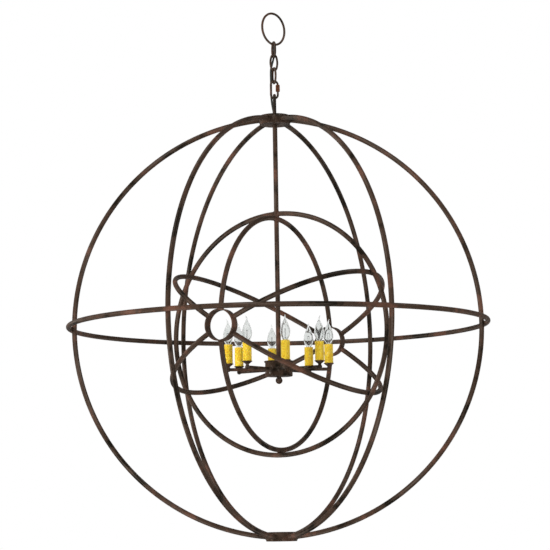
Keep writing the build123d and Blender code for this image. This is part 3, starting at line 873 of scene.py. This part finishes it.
def wax_finish():
    """Yellow resin with amber clouds and specks, a soft gloss and a paler upper rim."""
    made, tree, shader = finish("candle_wax")
    coords = add(tree, "ShaderNodeTexCoord").outputs["Object"]
    cloud = noise(tree, coords, WAX_CLOUDS, 4.0, 0.6)
    base = ramp(tree, cloud, ((0.38, WAX_DEEP), (0.48, WAX), (0.58, WAX), (0.68, WAX_PALE)))
    speck = noise(tree, coords, WAX_SPECKS, 2.0, 0.5)
    specked = mixed(tree, span(tree, speck, 0.52, 0.68, 0.0, 0.6), base, WAX_SPECK)
    height = add(tree, "ShaderNodeSeparateXYZ")
    tree.links.new(coords, height.inputs["Vector"])
    rim_z = arm_z + sleeve_top
    rim = span(tree, height.outputs["Z"], rim_z - RIM_PALE_DEPTH, rim_z, 0.0, 0.75)
    tree.links.new(mixed(tree, rim, specked, WAX_PALE), shader.inputs["Base Color"])
    tree.links.new(span(tree, cloud, 0.3, 0.7, 0.5, 0.36), shader.inputs["Roughness"])
    tree.links.new(bumped(tree, cloud, 0.25, 0.0006), shader.inputs["Normal"])
    shader.inputs["Specular IOR Level"].default_value = WAX_SHEEN
    shader.inputs["Subsurface Weight"].default_value = WAX_SCATTER
    shader.inputs["Subsurface Scale"].default_value = 1.0
    shader.inputs["Subsurface Radius"].default_value = WAX_SCATTER_DEPTH
    return made


def sleeve_rings():
    """Rings up the outside, over the rounded rim, and down the inside under the lip."""
    side_rise = sleeve_top - RIM_ROUND - SLEEVE_FOOT
    inner = SLEEVE_RADIUS - SLEEVE_WALL
    corner = 0.3 * RIM_ROUND
    outside = []
    for row in range(SLEEVE_ROWS + 1):
        outside.append((SLEEVE_RADIUS, SLEEVE_FOOT + side_rise * row / SLEEVE_ROWS))
    return outside + [
        (SLEEVE_RADIUS - corner, sleeve_top - corner),
        (SLEEVE_RADIUS - RIM_ROUND, sleeve_top),
        (MOUTH_RADIUS + RIM_ROUND, sleeve_top),
        (MOUTH_RADIUS, sleeve_top - RIM_ROUND),
        (MOUTH_RADIUS, sleeve_top - SLEEVE_LIP),
        (inner, sleeve_top - SLEEVE_LIP),
        (inner, SLEEVE_FOOT),
    ]


sleeve_ids = [f"candle_sleeve_{number}" for number in range(1, LIGHT_COUNT + 1)]
sleeve = spun("sleeve", sleeve_rings(), SLEEVE_SIDES, closed=True)
lights("candle_sleeves", sleeve, SLEEVE_UNEVENNESS, wax_finish(), "candle_resin", sleeve_ids)


# Lamps
# Clear candelabra lamps with a bent tip: blown glass on a brass screw cap, and inside it a filament
# on two wires that stand on a glass pillar. The holders are hidden in the sleeves.
GLASS_NECK = 0.0057
GLASS_WIDE = 0.0142
GLASS_SHOULDER = 0.0094
GLASS_WALL = 0.0009
GLASS_SIDES = 36
CAP_TO_GLASS = 0.0637
NECK_RISE = 0.007
WIDE_RISE = 0.0315
SHOULDER_RISE = 0.0532
GLASS_RISE = 0.070
SWELL_ROWS = 12
TAPER_ROWS = 10
SHOULDER_ROWS = 10
TIP_FOOT = 0.0026
TIP_END = 0.0008
TIP_BEND = 0.004
TIP_RISE = 0.011
TIP_ROWS = 6
GLASS_DIM = (0.78, 0.80, 0.79, 1)
GLASS_CLEAR = (0.90, 0.91, 0.90, 1)
GLASS_EDGE = (0.36, 0.37, 0.37, 1)
GLASS_WAVES = 60.0
GLASS_BENDING = 1.47
PILLAR_FOOT = 0.0026
PILLAR_RISE = 0.016
PILLAR_ROWS = 8
PILLAR_SIDES = 16
FILAMENT_FOOT = 0.0134
FILAMENT_RISE = 0.024
FILAMENT_HALF = 0.0035
FILAMENT_SIDES = 6
FILAMENT_STEEL = (0.10, 0.095, 0.09, 1)
SUPPORT_WIRE = 0.0004
SUPPORT_STEPS = 4
COIL_RADIUS = 0.0006
COIL_WIRE = 0.00018
COIL_TURNS = 24
COIL_STEPS = 8
CAP_BRASS = (0.56, 0.38, 0.13, 1)
HOLDER_PLASTIC = (0.045, 0.040, 0.036, 1)


def glass_rings(wall):
    """Rings of the bulb from its neck to the foot of its tip, moved in by a wall."""
    neck = (GLASS_NECK - wall, CAP_TO_GLASS)
    rings = [neck, (GLASS_NECK - wall, CAP_TO_GLASS + NECK_RISE)]
    for row in range(1, SWELL_ROWS + 1):
        share = row / SWELL_ROWS
        radius = GLASS_NECK + (GLASS_WIDE - GLASS_NECK) * math.sin(math.pi / 2 * share)
        rings.append((radius - wall, CAP_TO_GLASS + NECK_RISE + (WIDE_RISE - NECK_RISE) * share))
    for row in range(1, TAPER_ROWS + 1):
        share = row / TAPER_ROWS
        radius = GLASS_SHOULDER + (GLASS_WIDE - GLASS_SHOULDER) * (1 - share**2)
        rings.append((radius - wall, CAP_TO_GLASS + WIDE_RISE + (SHOULDER_RISE - WIDE_RISE) * share))
    for row in range(1, SHOULDER_ROWS + 1):
        share = row / SHOULDER_ROWS
        fall = (share + share**2 * (3 - 2 * share)) / 2
        radius = GLASS_SHOULDER + (TIP_FOOT - GLASS_SHOULDER) * fall
        height = CAP_TO_GLASS + SHOULDER_RISE + (GLASS_RISE - SHOULDER_RISE) * share
        rings.append((radius - wall, height - wall))
    return rings


def tip_rings():
    """Rings of the solid tip, thinner upwards and bent outwards."""
    rings = []
    for row in range(1, TIP_ROWS + 1):
        share = row / TIP_ROWS
        radius = TIP_FOOT + (TIP_END - TIP_FOOT) * share
        rings.append((radius, CAP_TO_GLASS + GLASS_RISE + TIP_RISE * share, TIP_BEND * share**2))
    return rings


def glass_finish():
    """Clear blown glass, faintly grey, and greyer where one looks along the wall."""
    made, tree, shader = finish("lamp_glass")
    coords = add(tree, "ShaderNodeTexCoord").outputs["Object"]
    wave = noise(tree, coords, GLASS_WAVES, 2.0)
    clear = ramp(tree, wave, ((0.3, GLASS_DIM), (0.7, GLASS_CLEAR)))
    edge_on = add(tree, "ShaderNodeLayerWeight").outputs["Facing"]
    greyed = mixed(tree, span(tree, edge_on, 0.6, 0.95, 0.0, 1.0), clear, GLASS_EDGE)
    tree.links.new(greyed, shader.inputs["Base Color"])
    tree.links.new(span(tree, wave, 0.3, 0.7, 0.0, 0.03), shader.inputs["Roughness"])
    shader.inputs["Transmission Weight"].default_value = 1.0
    shader.inputs["IOR"].default_value = GLASS_BENDING
    tree.links.new(bumped(tree, wave, 0.05, 0.0005), shader.inputs["Normal"])
    return made


clear_glass = glass_finish()
bulb = spun("bulb", glass_rings(GLASS_WALL)[::-1] + glass_rings(0.0) + tip_rings(), GLASS_SIDES)
lights("lamp_bulbs", bulb, 0.0, clear_glass, "lamp_glass", ["lamp_glasses"])

pillar_rings = []
for row in range(PILLAR_ROWS + 1):
    share = row / PILLAR_ROWS
    flare = 1 - 0.5 * math.sin(math.pi / 2 * share)
    pillar_rings.append((PILLAR_FOOT * flare, CAP_TO_GLASS + PILLAR_RISE * share))
pillar = spun("pillar", pillar_rings, PILLAR_SIDES)
lights("filament_pillars", pillar, 0.0, clear_glass, "filament_wire", ["lamp_filaments"])

wire_low = CAP_TO_GLASS + FILAMENT_FOOT
wire_top = wire_low + FILAMENT_RISE
outward = Vector((1, 0, 0))
sideways = Vector((0, 1, 0))
supports = []
for side in (-1, 1):
    foot = side * PILLAR_FOOT / 3 * outward + wire_low * UP
    head = side * FILAMENT_HALF * outward + wire_top * UP
    supports.append(([foot.lerp(head, step / SUPPORT_STEPS) for step in range(SUPPORT_STEPS + 1)], False))
coil = []
for step in range(COIL_TURNS * COIL_STEPS + 1):
    bow = math.pi * step / (COIL_TURNS * COIL_STEPS)
    out = math.cos(bow) * outward + math.sin(bow) * UP
    turn = math.tau * step / COIL_STEPS
    around = math.cos(turn) * out + math.sin(turn) * sideways
    coil.append(wire_top * UP + FILAMENT_HALF * out + COIL_RADIUS * around)
filament_steel = plain("filament_wire", FILAMENT_STEEL, rough=0.35, metal=1.0, scale=900.0)
filament_wires = (
    ("filament_supports", supports, SUPPORT_WIRE),
    ("filament_coils", [(coil, False)], COIL_WIRE),
)
for name, paths, radius in filament_wires:
    one = swept(name + "_one", paths, radius, filament_steel, FILAMENT_SIDES)
    lights(name, one.data.copy(), 0.0, filament_steel, "filament_wire", [])
    bpy.data.objects.remove(one)
coat(plain("cap_brass", CAP_BRASS, rough=0.32, metal=1.0, scale=500.0), "lamp_caps")
coat(plain("holder_plastic", HOLDER_PLASTIC, rough=0.45, metal=0.0, scale=300.0), "lamp_holders")


# Supply cord
# Round mains cord with a near-black jacket. It comes up the stem, leaves the top hub by a rubber
# bushing, climbs beside the chain and ends in bare leads behind the first link.
CORD_RADIUS = 0.003
CORD_SIDES = 16
CORD_ROUTE = (
    (0.0, 0.0, -0.7422),
    (0.0, 0.0, -0.023),
    (-0.0025, 0.0, -0.009),
    (-0.0026, 0.0, 0.010),
    (-0.0066, 0.0024, 0.031),
    (-0.0094, 0.0050, 0.057),
    (-0.0092, 0.0046, 0.101),
    (-0.0099, 0.0039, 0.139),
    (-0.0040, 0.0086, 0.161),
    (0.0024, 0.0144, 0.187),
    (0.0018, 0.0152, 0.217),
)
CORD_RUN_STEPS = 24
CORD_MARGIN = 0.001
CORD_JACKET = (0.0075, 0.009, 0.0065, 1)
CORD_WORN = (0.018, 0.021, 0.016, 1)
JACKET_DRAWING = (40.0, 900.0, 900.0)
LEAD_RADIUS = 0.0009
LEAD_SIDES = 10
LEAD_SPREAD = 0.0012
LEAD_RISE = 0.009
LEAD_SINK = 0.1
LEAD_STEPS = 4
LEAD_COATS = (
    ("black", (0.010, 0.010, 0.010, 1)),
    ("white", (0.70, 0.68, 0.62, 1)),
    ("green", (0.03, 0.16, 0.05, 1)),
)


def cord_line(route):
    """Points on one smooth line that the route's points control."""
    curve = bpy.data.curves.new("cord_line", "CURVE")
    curve.dimensions = "3D"
    curve.resolution_u = CORD_RUN_STEPS
    spline = curve.splines.new("NURBS")
    spline.points.add(len(route) - 1)
    for point, spot in zip(spline.points, route):
        point.co = (*spot, 1.0)
    spline.order_u = 3
    spline.use_endpoint_u = True
    guide = bpy.data.objects.new("cord_line", curve)
    bpy.context.collection.objects.link(guide)
    seen = guide.evaluated_get(bpy.context.evaluated_depsgraph_get())
    mesh = bpy.data.meshes.new_from_object(seen)
    points = [v.co.copy() for v in mesh.vertices]
    bpy.data.objects.remove(guide)
    bpy.data.meshes.remove(mesh)
    return points


def cut(points, low_z, high_z):
    """Stretch of a rising line between two heights, with ends on them where the line crosses them."""
    found = [point.copy() for point in points if low_z < point.z < high_z]
    for before, after in zip(points, points[1:]):
        for z in (low_z, high_z):
            if before.z < z < after.z:
                found.append(before.lerp(after, (z - before.z) / (after.z - before.z)))
    return sorted(found, key=lambda point: point.z)


def jacket_finish():
    """Near-black jacket with a faint lengthwise drawing."""
    made, tree, shader = finish("cord_jacket")
    coords = add(tree, "ShaderNodeAttribute", attribute_name="grain").outputs["Vector"]
    mapping = add(tree, "ShaderNodeMapping")
    mapping.inputs["Scale"].default_value = JACKET_DRAWING
    tree.links.new(coords, mapping.inputs["Vector"])
    drawing = noise(tree, mapping.outputs["Vector"], 1.0, 3.0)
    stops = ((0.3, CORD_JACKET), (0.75, CORD_WORN))
    tree.links.new(ramp(tree, drawing, stops), shader.inputs["Base Color"])
    tree.links.new(span(tree, drawing, 0.3, 0.7, 0.4, 0.55), shader.inputs["Roughness"])
    tree.links.new(bumped(tree, drawing, 0.2, 0.0002), shader.inputs["Normal"])
    return made


# The cord is one length for each chain joint, and the lengths meet beside the middle of a link.
cord_points = cord_line([(x, y, hub_top + z) for x, y, z in CORD_ROUTE])
jacket = jacket_finish()
joints = frame["record"]["behaviour"]["joints"]
joint_z = {joint["name"]: joint["pos_m"][2] for joint in joints if joint["type"] == "hinge"}
bends = (
    ("fixture", "connector", joint_z["fixture_swing"]),
    ("connector", "link_3", joint_z["connector_swing"]),
    ("link_3", "link_2", joint_z["link_3_swing"]),
    ("link_2", "link_1", joint_z["link_2_swing"]),
)
bend_heights = [z for lower, upper, z in bends]
meets = [(below + above) / 2 for below, above in zip(bend_heights, bend_heights[1:])]
ends = [cord_points[0].z - CORD_MARGIN, *meets, cord_points[-1].z + CORD_MARGIN]
for number, (lower, upper, z) in enumerate(bends):
    stretch = cut(cord_points, ends[number], ends[number + 1])
    piece = swept(f"cord_{number + 1}", [(stretch, False)], CORD_RADIUS, jacket, CORD_SIDES)
    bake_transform(piece)
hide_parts("supply_cord")

for number, (name, colour) in enumerate(LEAD_COATS):
    out = heading(360 / len(LEAD_COATS) * number) * LEAD_SPREAD
    lead = []
    for step in range(LEAD_STEPS + 1):
        share = step / LEAD_STEPS
        lead.append(cord_points[-1] + out * (1 + share) + UP * LEAD_RISE * (share - LEAD_SINK))
    lead_coat = plain(f"{name}_lead", colour, rough=0.5, metal=0.0, scale=300.0)
    piece = swept(f"cord_lead_{name}", [(lead, False)], LEAD_RADIUS, lead_coat, LEAD_SIDES)
    place(piece, "link_1", "cord_jacket")


# Studio
# A pale matt floor well below the fixture, a white room round it and three soft square lamps.
# Where it is looked at, the floor glows, and far off it is as white as the room, without a horizon.
FLOOR_DROP = 2.6
FLOOR_HALF = 40.0
FLOOR_CORNERS = ((-1, -1), (1, -1), (1, 1), (-1, 1))
FLOOR_PALE = (0.86, 0.86, 0.85, 1)
FLOOR_SEEN = (0.36, 0.36, 0.355, 1)
FLOOR_ROUGH = 0.9
FLOOR_GLOW = 0.64
FADE_START = 2.5
FADE_END = 8.0
ROOM_LIGHT = 0.18
LAMP_SIZE = 2.5
LAMP_AIM = Vector((0, 0, -0.9))
LAMPS = (
    ("key", (-4.2, -3.0, 0.3), 285),
    ("fill", (2.8, -3.6, -0.6), 95),
    ("back", (1.2, 4.8, 0.2), 170),
)


def looked_at(tree):
    """1 where the camera sees a surface, straight or by a reflection or through glass, else 0."""
    rays = add(tree, "ShaderNodeLightPath").outputs
    found = rays["Is Camera Ray"]
    for name in ("Is Glossy Ray", "Is Transmission Ray"):
        either = add(tree, "ShaderNodeMath", operation="MAXIMUM")
        tree.links.new(found, either.inputs[0])
        tree.links.new(rays[name], either.inputs[1])
        found = either.outputs[0]
    return found


def pale_floor():
    """Matt finish that takes the fixture's shadow and glows for whoever looks at it."""
    made, tree, shader = finish("pale_floor")
    seen = looked_at(tree)
    tree.links.new(mixed(tree, seen, FLOOR_PALE, FLOOR_SEEN), shader.inputs["Base Color"])
    shader.inputs["Roughness"].default_value = FLOOR_ROUGH
    shader.inputs["Emission Color"].default_value = WHITE
    reach = add(tree, "ShaderNodeVectorMath", operation="LENGTH")
    tree.links.new(add(tree, "ShaderNodeTexCoord").outputs["Object"], reach.inputs[0])
    fade = span(tree, reach.outputs["Value"], FADE_START, FADE_END, FLOOR_GLOW, 1.0)
    glow = add(tree, "ShaderNodeMath", operation="MULTIPLY")
    tree.links.new(fade, glow.inputs[0])
    tree.links.new(seen, glow.inputs[1])
    tree.links.new(glow.outputs[0], shader.inputs["Emission Strength"])
    return made


floor_mesh = bpy.data.meshes.new("floor")
floor_points = [(x * FLOOR_HALF, y * FLOOR_HALF, -FLOOR_DROP) for x, y in FLOOR_CORNERS]
floor_mesh.from_pydata(floor_points, [], [(0, 1, 2, 3)])
floor_mesh.materials.append(pale_floor())
floor = bpy.data.objects.new("floor", floor_mesh)
bpy.context.collection.objects.link(floor)

room = bpy.data.worlds.new("white_room")
bpy.context.scene.world = room
room.use_nodes = True
room_shader = room.node_tree.nodes["Background"]
room_shader.inputs["Color"].default_value = WHITE
room_strength = span(room.node_tree, looked_at(room.node_tree), 0, 1, ROOM_LIGHT, 1.0)
room.node_tree.links.new(room_strength, room_shader.inputs["Strength"])

for name, spot, power in LAMPS:
    lamp = bpy.data.lights.new(name, "AREA")
    lamp.size = LAMP_SIZE
    lamp.energy = power
    holder = bpy.data.objects.new(name, lamp)
    holder.location = spot
    holder.rotation_euler = (LAMP_AIM - Vector(spot)).to_track_quat("-Z", "Y").to_euler()
    # Glass and gloss show the white room alone, and no bright lamp in it.
    holder.visible_transmission = False
    holder.visible_glossy = False
    bpy.context.collection.objects.link(holder)


# Camera
# The photograph's view: in front of the fixture and half a metre below its middle, looking a little
# up through a long lens. It was fitted to the hubs, the equator, the ribs and the inner hoops.
EYE = Vector((-0.0561, -5.5797, -1.4449))
YAW = math.radians(-0.506)
PITCH = math.radians(6.884)
ROLL = math.radians(-0.933)
SENSOR = 36.0
LENS = 127.03
VIEW_DEPTH = 100

ahead = Vector((-math.sin(YAW) * math.cos(PITCH), math.cos(YAW) * math.cos(PITCH), math.sin(PITCH)))
level = Vector((math.cos(YAW), math.sin(YAW), 0))
over = level.cross(ahead)
right = level * math.cos(ROLL) + over * math.sin(ROLL)
upward = over * math.cos(ROLL) - level * math.sin(ROLL)
lens = bpy.data.cameras.new("camera")
lens.sensor_width = SENSOR
lens.lens = LENS
lens.clip_end = VIEW_DEPTH
camera = bpy.data.objects.new("camera", lens)
camera.matrix_world = Matrix.Translation(EYE) @ Matrix((right, upward, -ahead)).transposed().to_4x4()
bpy.context.collection.objects.link(camera)
scene = bpy.context.scene
scene.camera = camera
scene.view_settings.view_transform = "Standard"
